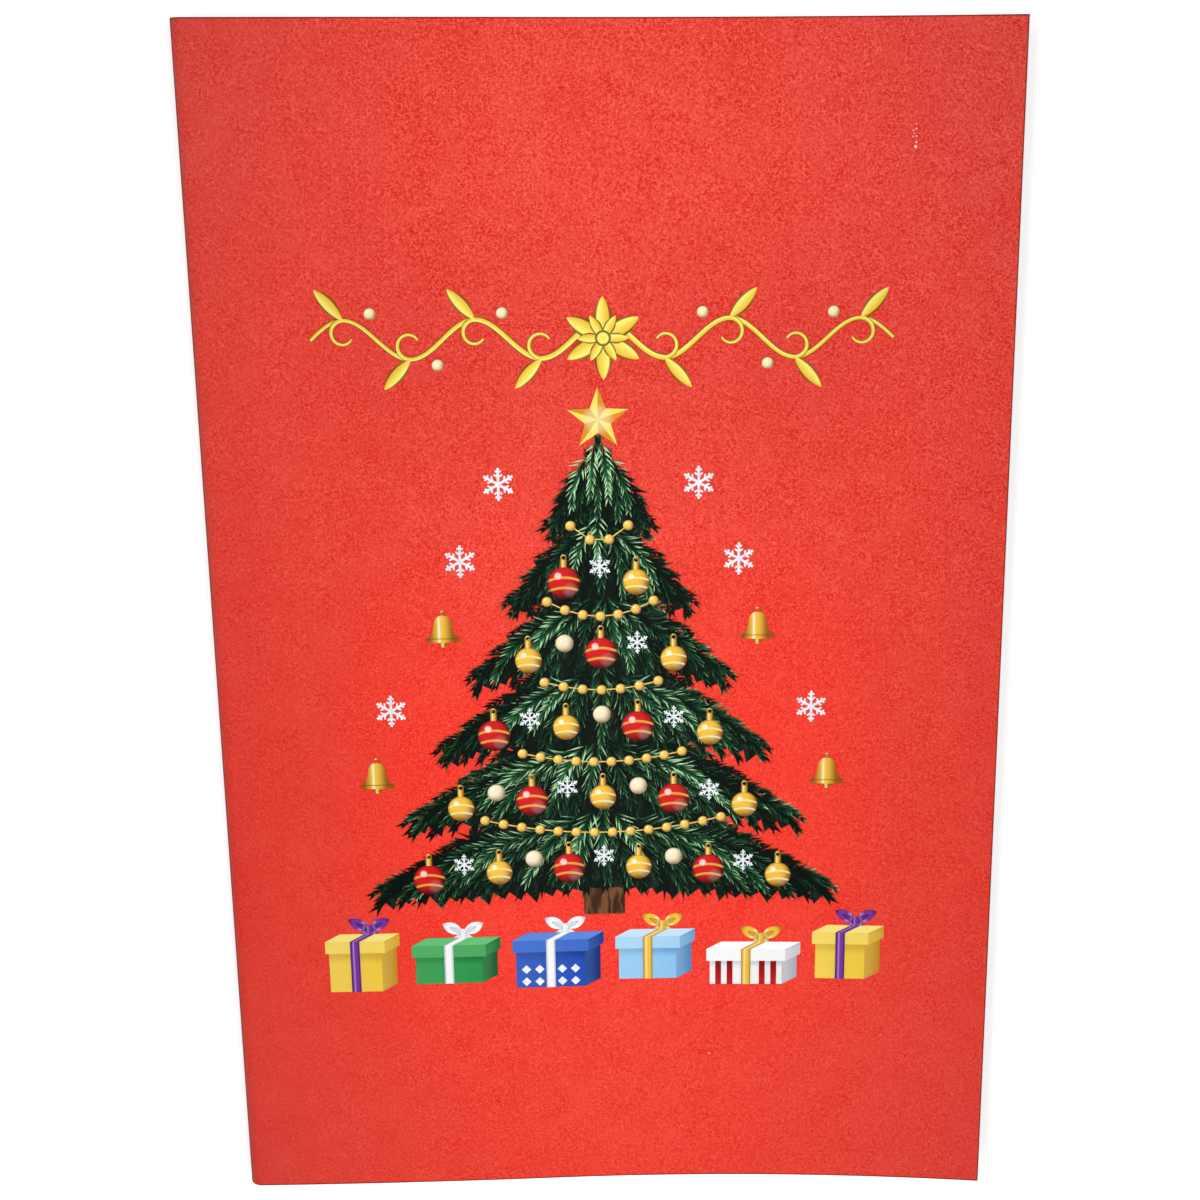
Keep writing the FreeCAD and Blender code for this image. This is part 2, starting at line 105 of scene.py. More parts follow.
class Wire:
    """A number that changes over a surface. Sums on it become Math nodes of its finish."""

    def __init__(self, finish, socket):
        self.finish = finish
        self.socket = socket

    def maths(self, operation, *values):
        return self.finish.node("Math", {"operation": operation}, dict(enumerate(values)))

    def __add__(self, other):
        return self.maths("ADD", self, other)

    __radd__ = __add__

    def __sub__(self, other):
        return self.maths("SUBTRACT", self, other)

    def __rsub__(self, other):
        return self.maths("SUBTRACT", other, self)

    def __mul__(self, other):
        return self.maths("MULTIPLY", self, other)

    __rmul__ = __mul__

    def __truediv__(self, other):
        return self.maths("DIVIDE", self, other)

    def __pow__(self, other):
        return self.maths("POWER", self, other)

    def __abs__(self):
        return self.maths("ABSOLUTE", self)

    def larger(self, other):
        return self.maths("MAXIMUM", self, other)

    def smaller(self, other):
        return self.maths("MINIMUM", self, other)

    def step(self, low, high):
        """0 on low's side, 1 on high's side and a smooth turn between; high may be under low."""
        if low > high:
            return 1 - self.step(high, low)
        return self.finish.node("MapRange", {"interpolation_type": "SMOOTHSTEP"},
                                {"Value": self, "From Min": low, "From Max": high})


class Finish:
    """A material put together from nodes around one Principled shader."""

    def __init__(self, name, roughness, **shader_values):
        self.material = bpy.data.materials.new(name)
        self.material.use_nodes = True
        self.tree = self.material.node_tree
        self.shader = self.tree.nodes["Principled BSDF"]
        self.shader.inputs["Roughness"].default_value = roughness
        for socket, value in shader_values.items():
            self.shader.inputs[socket.replace("_", " ")].default_value = value

    def node(self, kind, settings, inputs, output=0):
        """Adds a node: its settings come first, then the values or links of its sockets."""
        made = self.tree.nodes.new("ShaderNode" + kind)
        for name, value in settings.items():
            setattr(made, name, value)
        for place, value in inputs.items():
            self.feed(made.inputs[place], value)
        return Wire(self, made.outputs[output])

    def feed(self, socket, value):
        if isinstance(value, Wire):
            self.tree.links.new(value.socket, socket)
        else:
            socket.default_value = value

    def place(self):
        """The point on the card, in metres, as x, y and z."""
        point = self.node("TexCoord", {}, {}, "Object")
        return [self.node("SeparateXYZ", {}, {0: point}, axis) for axis in range(3)]

    def flat(self):
        """Where a point lies on a printed shape, across and up, each from -1 to 1."""
        point = self.node("UVMap", {"uv_map": "flat"}, {})
        return [self.node("SeparateXYZ", {}, {0: point}, axis) for axis in range(2)]

    def tone(self):
        """The tone that a printed shape was stamped with."""
        return self.node("Attribute", {"attribute_name": "tone"}, {}, "Fac")

    def noise(self, size, detail=2.0, stretch=(1, 1, 1)):
        """Cloudy noise from 0 to 1 in blots of `size` metres, longer where stretch is under 1."""
        point = self.node("TexCoord", {}, {}, "Object")
        scaled = self.node("VectorMath", {"operation": "MULTIPLY"}, {0: point, 1: stretch})
        return self.node("TexNoise", {}, {"Vector": scaled, "Scale": 1 / size,
                                          "Detail": detail}, "Fac")

    def mix(self, factor, first, second):
        """One colour that turns into another as the factor goes from 0 to 1."""
        return self.node("Mix", {"data_type": "RGBA"}, {0: factor, 6: first, 7: second}, 2)

    def colour(self, value):
        self.feed(self.shader.inputs["Base Color"], value)

    def bump(self, height, depth):
        """Relief: height runs from 0 to 1 and depth is how many metres that stands for."""
        normal = self.node("Bump", {}, {"Strength": 1.0, "Distance": depth, "Height": height})
        self.feed(self.shader.inputs["Normal"], normal)


card_relief = 0.000006
blot_size = 0.00036
fibre_size = 0.0009
cross_fibre_size = 0.0007


def pearl_grain(finish):
    """The grain of the coated card: fine blots, crossed by short pale fibres that wind about."""
    blots = finish.noise(blot_size, detail=3.0)
    winding = finish.noise(fibre_size, detail=1.5)
    crossing = finish.noise(cross_fibre_size, detail=1.0, stretch=(1.0, 1.4, 1))
    fibres = abs(winding - 0.5).step(0.035, 0.0).larger(abs(crossing - 0.5).step(0.025, 0.0))
    return 0.5 + (blots - 0.5) * 1.1 + (fibres - 0.22) * 0.46


# Small white specks of bare paper, in the corner and near the foot: x, y and radius.
specks = ((0.04861, 0.07977, 0.00021), (0.04869, 0.08045, 0.00013), (0.04869, 0.08136, 0.00012),
          (0.04819, 0.08129, 0.00010), (0.04835, 0.08176, 0.00010), (0.04820, 0.08217, 0.00011),
          (0.04863, 0.08242, 0.00011), (0.04861, 0.08314, 0.00008), (0.01706, -0.07489, 0.00013))
cloud_size = 0.006
patch_size = 0.0036
# Heights of a band of painted light under the middle and a band of painted shade over it.
lit_band_place = -0.030
shade_band_place = 0.047
# Width and strength of the painted shade along the cut edges, then its width and height in the
# crease.
edge_shade_width = 0.0003
edge_shade_strength = 0.85
crease_shade_width = 0.0006
crease_shade_height = 0.0004


def pearl_card():
    """Red card whose pearl gets painted sheen towards the head, pinker and grainier, in soft
    patches.

    A band of painted light lies across it under the middle, one of painted shade over it, and a
    painted pale sheen at the sides. Painted shade darkens its cut edges and its crease.
    Places are in metres from the card's middle.
    """
    finish = Finish("red_pearl_card", 0.5, Specular_IOR_Level=0.12)
    x, y, z = finish.place()
    grain = pearl_grain(finish)
    clouds = finish.noise(cloud_size, detail=3.0)
    patches = finish.noise(patch_size, detail=2.0).step(0.36, 0.64)
    # Painted sheen: the pearl turns pinker and its grain stronger towards the head.
    painted_head_sheen = y.step(-0.05, 0.07)
    calm_left = 0.6 + 0.4 * x.step(-0.06, -0.02)
    strength = (0.85 + 0.45 * painted_head_sheen) * calm_left * (0.7 + 0.55 * patches)
    tone = ((grain - 0.5) * strength + (clouds - 0.5) * 0.26 + 0.5).step(0.0, 1.0)
    foot_red = finish.mix(tone, paint(226, 18, 0), paint(248, 86, 68))
    # The pinker red of the painted sheen towards the head.
    sheen_painted_red = finish.mix(tone, paint(224, 22, 0), paint(252, 96, 80))
    # The brighter red of the band of painted light.
    painted_lit_red = finish.mix(tone, paint(239, 12, 0), paint(255, 82, 62))
    inner = abs(x).step(0.052, 0.03)
    # A band of painted light under the middle and one of painted shade under the scroll.
    painted_light_band = abs(y - lit_band_place).step(0.052, 0.012) * inner
    painted_shade_band = abs(y - shade_band_place).step(0.034, 0.0) * inner * 0.13
    # Painted sheen: a pale pink veil towards the sides, stronger towards the head and foot.
    painted_side_sheen = abs(x).step(0.02, 0.065) * (0.006 + 0.014 * abs(y).step(0.04, 0.09))
    body = finish.mix(painted_head_sheen, foot_red, sheen_painted_red)
    body = finish.mix(painted_light_band, body, painted_lit_red)
    body = finish.mix(painted_shade_band, body, paint(140, 20, 16))
    body = finish.mix(painted_side_sheen, body, paint(255, 210, 222))
    # Painted shade: a dark line along the cut edges and in the crease, where they turn from the
    # light.
    shaded_ends = abs(y).step(card_high.y - edge_shade_width, card_high.y - edge_shade_width / 3)
    shaded_fore_edge = x.step(card_high.x - edge_shade_width, card_high.x - edge_shade_width / 3)
    shoulder = z.step(fold_radius + crease_shade_height, fold_radius + 1.5 * crease_shade_height)
    shaded_crease = x.step(crease_shade_width - card_high.x, 0.7 * crease_shade_width - card_high.x) * shoulder
    dark = shaded_ends.larger(shaded_fore_edge).larger(shaded_crease) * edge_shade_strength
    body = finish.mix(dark, body, paint(112, 28, 22))
    bare = 0.0
    for across, up, radius in specks:
        away = (x - across) ** 2 + (y - up) ** 2
        bare = away.step(1.6 * radius**2, 0.4 * radius**2) + bare
    finish.colour(finish.mix(bare.smaller(0.9), body, paint(255, 232, 224)))
    finish.feed(finish.shader.inputs["Roughness"], 0.46 + 0.12 * grain)
    finish.bump(grain, card_relief)
    return finish


def folded_sheet(name, node, depth, sheet, margin, finish):
    """A sheet folded round the spine. Its outer face lies `depth` inside the card's outside.

    Its edges keep `margin` inside the card's edges.
    """
    end = card_high.x - margin
    edge = card_high.y - margin
    bm = bmesh.new()
    corners = [bm.verts.new((end, y, depth)) for y in (-edge, edge)]
    rim = [bm.edges.new(corners)]
    for run in (-1, 1):
        made = bmesh.ops.extrude_edge_only(bm, edges=rim)["geom"]
        moved = [item for item in made if isinstance(item, bmesh.types.BMVert)]
        bmesh.ops.translate(bm, verts=moved, vec=(run * (end - panel_start), 0, 0))
        rim = [item for item in made if isinstance(item, bmesh.types.BMEdge)
               and all(vert in moved for vert in item.verts)]
        if run < 0:
            turned = bmesh.ops.spin(bm, geom=rim + moved, cent=(panel_start, 0, fold_radius),
                                    axis=(0, 1, 0), angle=math.pi, steps=fold_steps)
            rim = [item for item in turned["geom_last"] if isinstance(item, bmesh.types.BMEdge)]
    for cut in range(1, panel_cuts):
        place = panel_start + panel_length * cut / panel_cuts
        bmesh.ops.bisect_plane(bm, geom=bm.verts[:] + bm.edges[:] + bm.faces[:],
                               plane_co=(place, 0, 0), plane_no=(1, 0, 0))
    for vert in bm.verts:
        if vert.co.z > fold_radius and vert.co.x > panel_start:
            vert.co.z += panel_height(vert.co.x) - spine_height
    bmesh.ops.recalc_face_normals(bm, faces=bm.faces)
    if min(bm.faces, key=lambda face: face.calc_center_median().z).normal.z > 0:
        bmesh.ops.reverse_faces(bm, faces=bm.faces)
    bmesh.ops.solidify(bm, geom=bm.faces[:], thickness=sheet)
    return piece_of(name, bm, finish, node)


def piece_of(name, bm, finish, *nodes):
    """Makes a piece of a finished mesh. It rides with the card and stands for the nodes."""
    mesh = bpy.data.meshes.new(name)
    bm.to_mesh(mesh)
    bm.free()
    mesh.materials.append(finish.material)
    mesh.shade_smooth()
    mesh.set_sharp_from_angle(angle=sharp_edge)
    piece = bpy.data.objects.new(name, mesh)
    bpy.context.scene.collection.objects.link(piece)
    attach(piece, "root")
    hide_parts(*nodes)
    return piece


card_finish = pearl_card()
cover = folded_sheet("folded_cover", "cover", 0, cover_sheet, 0, card_finish)


# The liner is a folded sheet of ivory paper, glued all over the inside of the cover.
# It ends a little inside the card's edges and carries the pop-up.
liner_sheet = 0.0002
paper_fibre_size = 0.0006
paper_relief = 0.00001
liner_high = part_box("liner")[1]


def plain_paper(name, light, dark):
    """Uncoated paper: fine cloudy fibres and no shine."""
    finish = Finish(name, 0.85)
    fibres = finish.noise(paper_fibre_size, detail=4.0, stretch=(1, 0.4, 1))
    finish.colour(finish.mix(fibres.step(0.3, 0.7), dark, light))
    finish.bump(fibres, paper_relief)
    return finish


ivory = plain_paper("ivory_paper", paint(243, 238, 224), paint(228, 221, 204))
liner = folded_sheet("paper_liner", "liner", cover_sheet, liner_sheet,
                     card_high.y - liner_high.y, ivory)


# The three pop-up sheets lie folded flat between the panels, glued to the liner by their tabs.
# They are plain coloured card, seen only as thin edges when the card is closed.
def dress(node, finish):
    """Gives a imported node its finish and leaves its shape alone."""
    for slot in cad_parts[node].material_slots:
        slot.material = finish.material


green_card = plain_paper("green_card", paint(44, 118, 68), paint(32, 96, 54))
dress("popup_tree_back", green_card)
dress("popup_tree_front", green_card)
dress("popup_gifts", plain_paper("red_card", paint(196, 34, 34), paint(172, 26, 28)))


# The print starts with the fir: a dark shape of ink on the front panel, drawn with short strokes.
# The trunk below it is brown ink with upright streaks of bark.
ink_level = 0.0001
ink_relief = 0.000003
stroke_size = 0.0009


def ink_finish(name, roughness=0.42):
    """Printing ink on the card: a little smoother than the card, with its grain showing."""
    finish = Finish(name, roughness, Specular_IOR_Level=0.03)
    finish.bump(pearl_grain(finish), ink_relief)
    return finish


fir_ink = ink_finish("fir_dark_ink")
strokes = fir_ink.noise(stroke_size, detail=4.0, stretch=(1, 0.35, 1))
fir_ink.colour(fir_ink.mix(strokes.step(0.48, 0.66), paint(12, 22, 17), paint(24, 44, 32)))
dress("print_tree", fir_ink)

bark = ink_finish("bark_ink")
streaks = bark.noise(stroke_size, detail=3.0, stretch=(1, 0.2, 1))
bark.colour(bark.mix(streaks.step(0.4, 0.62), paint(62, 38, 24), paint(120, 78, 48)))
dress("print_trunk", bark)


# Sprigs of fir are drawn over the dark shape: each has a stem and two rows of pointed needles.
# On each tier they run down both sides, hang in three rows, the lowest past its foot, and draw
# its two ends out to points. Three more make the crown, so that the tree bristles all round.
tiers = 6
tree_axis = -0.001
tree_top = 0.033
tree_foot = -0.043
tree_spread = 0.038
tier_rise = (tree_top - tree_foot) / tiers
needle_length = 0.0036
needle_width = 0.00032
needle_pitch = 0.0009
needle_widest = -0.35
needle_lean = (26, 46)  # degrees from the stem, least and most
needle_reach = (0.78, 1.12)
stem_width = 0.9 * needle_width
small_sprig = 0.74
lowest_level = 1.25
level_gain = 0.55
draw = random.Random(12)

# Sprigs down a tier's sides: how many, how far they stand out, their length, slope and bow.
side_sprigs = 4
side_out = 0.0012
side_length = 0.0074
side_slope = 0.0018
side_bow = 0.06
side_breadth = 1.4

# Rows of sprigs on a tier, from its foot up. How many hang there on the top tier and how many more
# on each tier below it, how far out their tips and their roots are as shares of the tier's width,
# the height of the tips above its foot, that of the roots as a share of its rise, tone, breadth.
sprig_rows = ((8, 3, 1.0, 0.6, 0.0002, 0.8, 0.0, 1.7),
              (5, 2, 0.84, 0.4, 0.0022, 1.0, 0.22, 1.0),
              (4, 1, 0.6, 0.2, 0.0055, 1.14, 0.38, 1.0))
row_arch = 0.0022
row_unsteady = 0.0005
row_root_slope = 0.28
row_bow = 0.1
row_level = 0.09

# The crown's sprigs: lean in degrees, length, size of the needles and tone.
crown_sprigs = ((14, 0.0066, 0.7, 0.2), (-14, 0.0066, 0.7, 0.2), (0, 0.0086, 1.05, 0.3))
crown_root = tree_top - 0.0076
crown_level = 1.95
crown_breadth = 1.5

# The sprigs that end a tier: how far their tips drop under its foot and reach past its side,
# and where both of their roots are, in from its side and up from its foot.
end_sprigs = ((0.0016, 0.0004), (0.0002, 0.0012))
end_root_in = 0.0052
end_root_up = 0.0028


def kept_shape(name, bm, round_shading=False):
    """Gives a flat outline a thickness of one and keeps it, with its flat coordinates.

    With round_shading they run from the middle (0) to the rim (1) instead of across and up.
    """
    made = bmesh.ops.extrude_face_region(bm, geom=bm.faces[:])["geom"]
    raised = [item for item in made if isinstance(item, bmesh.types.BMVert)]
    bmesh.ops.translate(bm, verts=raised, vec=(0, 0, 1))
    bmesh.ops.recalc_face_normals(bm, faces=bm.faces)
    flat = bm.loops.layers.uv.new("flat")
    bm.verts.layers.float.new("tone")
    for face in bm.faces:
        for loop in face.loops:
            here = loop.vert.co.xy
            loop[flat].uv = (0, here.length) if round_shading else here
    shape = bpy.data.meshes.new(name)
    bm.to_mesh(shape)
    bm.free()
    return shape


def fresh_print():
    """An empty mesh for shapes of ink, which carry their flat coordinates and a tone."""
    bm = bmesh.new()
    bm.loops.layers.uv.new("flat")
    bm.verts.layers.float.new("tone")
    return bm


def stamp(bm, shape, where, tone=0.0):
    """Adds a copy of a kept shape, placed by a matrix, and returns its corners."""
    before = len(bm.verts)
    bm.from_mesh(shape)
    copied = list(bm.verts)[before:]
    bmesh.ops.transform(bm, matrix=where, verts=copied)
    layer = bm.verts.layers.float["tone"]
    for vert in copied:
        vert[layer] = tone
    return copied


def towards(turn):
    """A step of length one in a direction."""
    return Vector((math.cos(turn), math.sin(turn)))


def at(spot, turn, half_length, half_width, low, high, level=ink_level):
    """Places a shape at a spot, turned, with its half sizes, between two levels of ink.

    A level is one print of ink thick, or as thick as `level` says.
    """
    return (Matrix.Translation((spot[0], spot[1], low * level)) @ Matrix.Rotation(turn, 4, "Z")
            @ Matrix.Diagonal((half_length, half_width, (high - low) * level, 1)))


def merge(bm, part):
    """Adds a finished part to a larger print."""
    copy = bpy.data.meshes.new("part")
    part.to_mesh(copy)
    part.free()
    bm.from_mesh(copy)
    bpy.data.meshes.remove(copy)


def printed(name, bm, finish, slot, *nodes):
    """Lays a flat print on the bent front panel and makes it a piece of the card."""
    for vert in bm.verts:
        vert.co.z += panel_height(vert.co.x)
    piece = piece_of(name, bm, finish, *nodes)
    return piece


def needle_shape():
    bm = bmesh.new()
    bmesh.ops.create_circle(bm, cap_ends=True, segments=4, radius=1)
    for vert in bm.verts:
        if abs(vert.co.y) > 0.5:
            vert.co.x = needle_widest
    return kept_shape("needle", bm)


needle = needle_shape()


def sprig(bm, root, tip, bow, size, tone, high, broad):
    """One sprig from its root to its tip, bowed to its left by a share of its length.

    Its needles get shorter and close up towards the tip, and no two are alike in lean or tone.
    """
    part = fresh_print()
    along = tip - root
    left = Vector((-along.y, along.x))
    heading = math.atan2(along.y, along.x)
    count = max(4, round(along.length / needle_pitch))
    stem = root + along / 2 + left * bow * 0.8
    stamp(part, needle, at(stem, heading, along.length / 2, stem_width, 0, high), tone * 0.6)
    for i in range(count + 1):
        share = i / count
        spot = root + along * share + left * bow * 4 * share * (1 - share)
        turn = heading + math.atan(4 * bow * (1 - 2 * share))
        for side in (-1, 1):
            lean = side * math.radians(draw.uniform(*needle_lean)) * (1 - 0.55 * share)
            reach = needle_length * size * draw.uniform(*needle_reach) * (1 - 0.35 * share)
            middle = spot + towards(turn + lean) * reach / 2
            top = high + draw.uniform(-0.06, 0.0)
            where = at(middle, turn + lean, reach / 2, needle_width * broad / 2, 0, top)
            stamp(part, needle, where, tone + draw.uniform(-0.14, 0.14))
    merge(bm, part)


def tier_spread(tier):
    """Half the width of a tier at its foot; tier 0 is the top one."""
    return tree_spread * ((tier + 1) / tiers) ** 0.9


def tier_foot(tier):
    return tree_top - (tier + 1) * tier_rise


def tier_level(tier):
    """The level of ink that a tier's sprigs reach; each tier lies over the one below."""
    return lowest_level + level_gain * (tiers - tier) / tiers


def tier_side(tier, share):
    """How far out and how high a tier's side is, from its top (0) to its foot (1)."""
    top_spread = 0.5 * tier_spread(tier - 1) if tier else 0
    return (top_spread + (tier_spread(tier) - top_spread) * share,
            tier_foot(tier) + tier_rise * (1.03 - 1.06 * share))


def spread_out(count):
    """Shares from -1 to 1, evenly spaced and a little unsteady."""
    return [2 * i / (count - 1) - 1 + draw.uniform(-0.3, 0.3) / count for i in range(count)]


def side_sprig(tier, side, reach, length, height, slope, size, tone):
    """A sprig that points out of a tier's side. Its root is `slope` higher than its tip."""
    tip = Vector((tree_axis + side * reach, height))
    root = Vector((tree_axis + side * (reach - length), height + slope))
    sprig(sprigs, root, tip, side * side_bow, size, tone, tier_level(tier), side_breadth)


sprigs = fresh_print()
for tier in reversed(range(tiers)):
    spread = tier_spread(tier)
    foot = tier_foot(tier)
    size = small_sprig + (1 - small_sprig) * tier / (tiers - 1)
    for side in (-1, 1):
        for step in range(0 if tier else 1, side_sprigs):
            reach, height = tier_side(tier, (step + 0.7) / side_sprigs)
            side_sprig(tier, side, reach + side_out, side_length, height + side_out / 3,
                       side_slope, size * 0.85, draw.uniform(0.0, 0.4))
    for row, (fewest, more, hem, shoulder, height, start, light, broad) in enumerate(sprig_rows):
        level = tier_level(tier) + row_level * (row + 1)
        for share in spread_out(fewest + more * tier):
            tip = Vector((tree_axis + share * spread * hem, foot + height - row_arch * share**2
                          + draw.uniform(-row_unsteady, row_unsteady)))
            root = Vector((tree_axis + share * spread * shoulder,
                           foot + tier_rise * (start - row_root_slope * abs(share))))
            tone = light + draw.uniform(-0.12, 0.28)
            sprig(sprigs, root, tip, row_bow * share, size, tone, level, broad)

for lean, length, size, tone in crown_sprigs:
    root = Vector((tree_axis, crown_root))
    tip = root + towards(math.radians(90 + lean)) * length
    sprig(sprigs, root, tip, 0, size, tone, crown_level, crown_breadth)

for tier in range(tiers):
    for side in (-1, 1):
        for drop, past in end_sprigs:
            side_sprig(tier, side, tier_spread(tier) + past, end_root_in + past,
                       tier_foot(tier) - drop, end_root_up + drop, small_sprig,
                       draw.uniform(0.05, 0.35))

sprig_ink = ink_finish("fir_green_ink")
u, _ = sprig_ink.flat()
tone = sprig_ink.tone()
lit = (tone + 0.28 * u).step(0.0, 1.0)
green = sprig_ink.mix(lit.step(0.05, 0.5), paint(8, 18, 13), paint(36, 94, 56))
green = sprig_ink.mix(lit.step(0.42, 0.85), green, paint(190, 236, 182))
sprig_ink.colour(green)
printed("fir_sprigs", sprigs, sprig_ink, "ink_fir_green", "print_boughs")


# The baubles are printed discs, shaded as glass balls that hang by small gold caps.
# Red and gold ones alternate, and small cream ones hang between them.
ball_sides = 32
bead_sides = 12
hoop_sides = 16
hoop_hole = 0.62
pane_cuts = 6
ball_low = 1.0
ball_high = 3.0
cap_high = 3.1
hoop_high = 2.6


def disc_shape(name, sides):
    bm = bmesh.new()
    bmesh.ops.create_circle(bm, cap_ends=True, segments=sides, radius=1)
    return kept_shape(name, bm)


def ring_shape(name, sides, hole):
    bm = bmesh.new()
    bmesh.ops.create_circle(bm, segments=sides, radius=1)
    made = bmesh.ops.extrude_edge_only(bm, edges=bm.edges[:])["geom"]
    inner = [item for item in made if isinstance(item, bmesh.types.BMVert)]
    bmesh.ops.scale(bm, verts=inner, vec=(hole, hole, 1))
    return kept_shape(name, bm)


def pane_shape(name, cuts):
    """A square that is cut across, so that it can follow the panel's bend."""
    bm = bmesh.new()
    bmesh.ops.create_grid(bm, x_segments=cuts, y_segments=1, size=1)
    return kept_shape(name, bm)


disc = disc_shape("disc", ball_sides)
bead = disc_shape("bead", bead_sides)
hoop = ring_shape("hoop", hoop_sides, hoop_hole)
pane = pane_shape("pane", pane_cuts)


def spots(node):
    """The lowest and highest corner of each separate field of a printed node."""
    bm = bmesh.new()
    bm.from_mesh(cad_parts[node].data)
    bmesh.ops.remove_doubles(bm, verts=bm.verts, dist=1e-6)
    found = []
    waiting = set(bm.verts)
    while waiting:
        group = [waiting.pop()]
        for vert in group:
            for edge in vert.link_edges:
                other = edge.other_vert(vert)
                if other in waiting:
                    waiting.remove(other)
                    group.append(other)
        found.append((Vector([min(vert.co[axis] for vert in group) for axis in range(2)]),
                      Vector([max(vert.co[axis] for vert in group) for axis in range(2)])))
    bm.free()
    return sorted(found, key=lambda corners: tuple(corners[0]))


def ball_finish(name, shade, body, light, bands=None):
    """A shaded ball, lit from its upper left, with a bright glint there and two bands if asked.

    Its lower right is dark, with a faint light thrown back into it by the card.
    """
    finish = ink_finish(name, roughness=0.3)
    u, v = finish.flat()

    def away_from(across, up):
        """Squared distance from a point of the ball."""
        return (u - across) * (u - across) + (v - up) * (v - up)

    ball = finish.mix(away_from(-0.32, 0.36).step(1.9, 0.1), shade, body)
    if bands:
        arc = v + 0.22 * u * u
        band = abs(abs(arc) - 0.32).step(0.1, 0.05)
        ball = finish.mix(band * 0.75, ball, bands)
    ball = finish.mix(away_from(0.4, -0.46).step(0.3, 0.0) * 0.13, ball, light)
    ball = finish.mix(away_from(0, 0).step(0.72, 1.0) * 0.7, ball, shade)
    finish.colour(finish.mix(away_from(-0.36, 0.42).step(0.07, 0.01), ball, light))
    return finish


def baubles(name, node, slot, finish):
    bm = fresh_print()
    for low, high in spots(node):
        radius = (high.x - low.x) / 2
        stamp(bm, disc, at((low + high) / 2, 0, radius, radius, ball_low, ball_high))
    return printed(name, bm, finish, slot, node)


baubles("red_baubles", "print_baubles_red", "ink_deep_red",
        ball_finish("red_glass_ink", paint(84, 8, 14), paint(214, 32, 34),
                    paint(255, 214, 204), paint(238, 186, 84)))
baubles("gold_baubles", "print_baubles_gold", "ink_gold",
        ball_finish("gold_glass_ink", paint(136, 84, 18), paint(246, 196, 72),
                    paint(255, 250, 220), paint(255, 238, 168)))
baubles("cream_baubles", "print_baubles_small", "ink_cream",
        ball_finish("cream_glass_ink", paint(150, 120, 84), paint(250, 236, 200),
                    paint(255, 255, 250)))

cap_ink = ink_finish("cap_gold_ink", roughness=0.34)
u, _ = cap_ink.flat()
gold = cap_ink.mix(abs(u + 0.15).step(1.1, 0.15), paint(128, 84, 22), paint(236, 186, 74))
cap_ink.colour(cap_ink.mix(abs(u + 0.3).step(0.28, 0.0) * 0.8, gold, paint(255, 244, 196)))
caps = fresh_print()
for low, high in spots("print_bauble_caps"):
    half = (high - low) / 2
    middle = (low + high) / 2
    hoop_spot = (middle.x, high.y + half.x * 0.7)
    stamp(caps, pane, at(middle, 0, half.x, half.y, ball_low, cap_high))
    stamp(caps, hoop, at(hoop_spot, 0, half.x, half.x, ball_low, hoop_high))
printed("bauble_caps", caps, cap_ink, "ink_gold", "print_bauble_caps")


# A garland of gold beads on a thread hangs across each tier.
# Each bead is a small printed ball, and the thread is drawn only between neighbours.
thread_width = 0.00022
thread_reach = 0.0042
thread_high = 2.5

beads = fresh_print()
places = [((low + high) / 2, (high.x - low.x) / 2) for low, high in spots("print_garland")]
for spot, radius in places:
    stamp(beads, bead, at(spot, 0, radius, radius, ball_low, ball_high))
    for other, _ in places:
        gap = other - spot
        if gap.x > 0 and gap.length < thread_reach:
            stamp(beads, pane, at((spot + other) / 2, math.atan2(gap.y, gap.x), gap.length / 2,
                                  thread_width / 2, ball_low, thread_high))
bead_ink = ball_finish("bead_gold_ink", paint(150, 96, 26), paint(250, 208, 96),
                       paint(255, 252, 226))
printed("bead_garlands", beads, bead_ink, "ink_gold", "print_garland")


# Six-armed flakes are printed in white, small ones on the tree and larger ones beside it.
# Each arm has two pairs of side branches.
arms = 6
arm_width = 0.075
branch_width = 0.0525
branch_lean = math.radians(55)
branches = ((0.42, 0.3), (0.7, 0.22))
frost_size = 0.0005


def flake_shape():
    """A flake of radius one. Branches are given by their place along an arm and their length."""
    short_pane = pane_shape("short_pane", 1)
    bm = fresh_print()
    for arm in range(arms):
        turn = math.pi / 2 + 2 * math.pi * arm / arms
        stamp(bm, short_pane, at(towards(turn) / 2, turn, 0.5, arm_width, 0, 1, level=1))
        for share, length in branches:
            for lean in (turn - branch_lean, turn + branch_lean):
                middle = towards(turn) * share + towards(lean) * length / 2
                stamp(bm, short_pane, at(middle, lean, length / 2, branch_width, 0, 1, level=1))
    shape = bpy.data.meshes.new("flake")
    bm.to_mesh(shape)
    bm.free()
    return shape


flake = flake_shape()
snow = ink_finish("snow_white_ink", roughness=0.4)
frost = snow.noise(frost_size)
snow.colour(snow.mix(frost.step(0.35, 0.65), paint(224, 234, 242), paint(255, 255, 255)))


def flakes(name, node, high, slot):
    """Flakes one level of ink thick, on the card or on the tree."""
    bm = fresh_print()
    for low, top in spots(node):
        radius = (top.y - low.y) / 2
        stamp(bm, flake, at((low + top) / 2, 0, radius, radius, high - 1.0, high))
    return printed(name, bm, snow, slot, node)


flakes("card_flakes", "print_snowflakes", 1.0, "ink_white")
flakes("tree_flakes", "print_tree_flakes", ball_high, "ink_white")


# The star over the tree is gold ink, printed over the top of the crown.
# It is drawn as ten facets that are light and dark in turn.
star_points = 5
star_notch = 0.42
side_tip_turn = math.radians(18)
star_level = 2.2


def star_shape():
    bm = bmesh.new()
    bmesh.ops.create_circle(bm, cap_ends=True, segments=2 * star_points, radius=1)
    for vert in list(bm.verts)[1::2]:
        vert.co *= star_notch
    bmesh.ops.poke(bm, faces=bm.faces[:])
    return kept_shape("star", bm)


